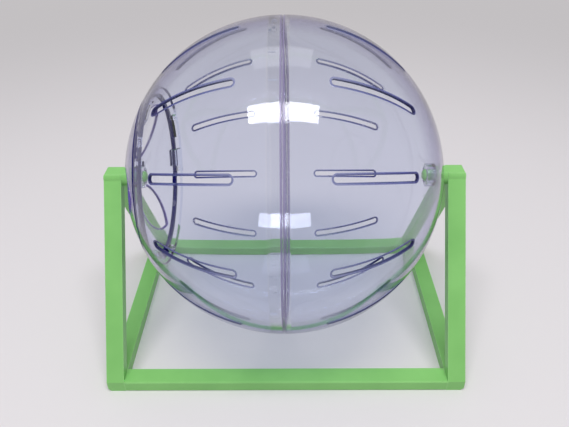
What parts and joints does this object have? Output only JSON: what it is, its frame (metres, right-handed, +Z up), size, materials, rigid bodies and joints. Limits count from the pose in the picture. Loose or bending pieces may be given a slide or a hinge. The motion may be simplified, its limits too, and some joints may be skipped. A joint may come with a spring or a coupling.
{
  "type": "hamster ball",
  "caption": "Clear vented pet exercise ball, split into halves with a twist-off door at one pole, spinning between the A-shaped sides of a green plastic stand.",
  "frame": {"origin": "on the floor under the centre of the ball, midway between the crossbars and between the side frames", "axes": "+X along the spin axis, away from the door; -Y towards the front; +Z up"},
  "size_m": [0.1856, 0.16, 0.175],
  "materials": {
    "clear_shell": "clear polished polystyrene with a faint violet tint",
    "clear_door": "clear polished polystyrene with a faint violet tint",
    "green_stand": "satin moulded lime-green plastic",
    "green_crossbar": "satin moulded lime-green plastic"
  },
  "bodies": {
    "stand": {"left_side_frame": "green_stand", "right_side_frame": "green_stand", "front_crossbar": "green_crossbar", "rear_crossbar": "green_crossbar"},
    "right_half": {"right_hemisphere": "clear_shell"},
    "left_half": {"left_hemisphere": "clear_shell"},
    "door": {"door": "clear_door"}
  },
  "joints": [
    {"name": "ball_spin", "type": "hinge", "parent": "stand", "child": "right_half", "pos_m": [0, 0, 0.095], "axis": [1, 0, 0], "continuous": true},
    {"name": "halves_twist", "type": "hinge", "parent": "right_half", "child": "left_half", "pos_m": [0, 0, 0.095], "axis": [1, 0, 0], "range_deg": [0, 12]},
    {"name": "door_twist", "type": "hinge", "parent": "left_half", "child": "door", "pos_m": [0, 0, 0.095], "axis": [1, 0, 0], "range_deg": [0, 25]}
  ]
}
